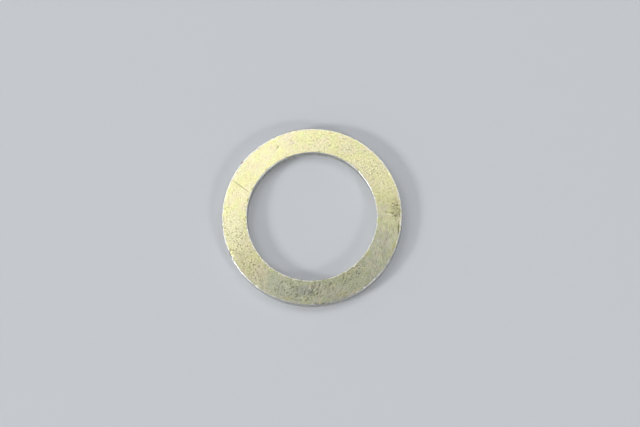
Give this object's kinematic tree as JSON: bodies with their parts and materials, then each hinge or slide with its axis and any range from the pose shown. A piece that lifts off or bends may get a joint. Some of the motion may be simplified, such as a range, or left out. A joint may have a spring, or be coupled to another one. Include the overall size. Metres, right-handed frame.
{
  "type": "flat washer",
  "caption": "Thin flat washer with a wide bore, a narrow bearing ring and rounded upper edges, in pale yellow zinc-plated steel.",
  "frame": {"origin": "centre of the bore on the lower bearing face", "axes": "+Z along the bore's axis, from the lower bearing face to the upper one, whose edges are rounded; +X and +Y lie in the lower face"},
  "size_m": [0.021, 0.021, 0.0015],
  "materials": {
    "zinc_plated_steel": "pale yellow passivated zinc plating, satin, with fine parallel rolling marks and handling scratches, worn to bright zinc along the edges"
  },
  "bodies": {
    "root": {"washer": "zinc_plated_steel"}
  },
  "joints": []
}
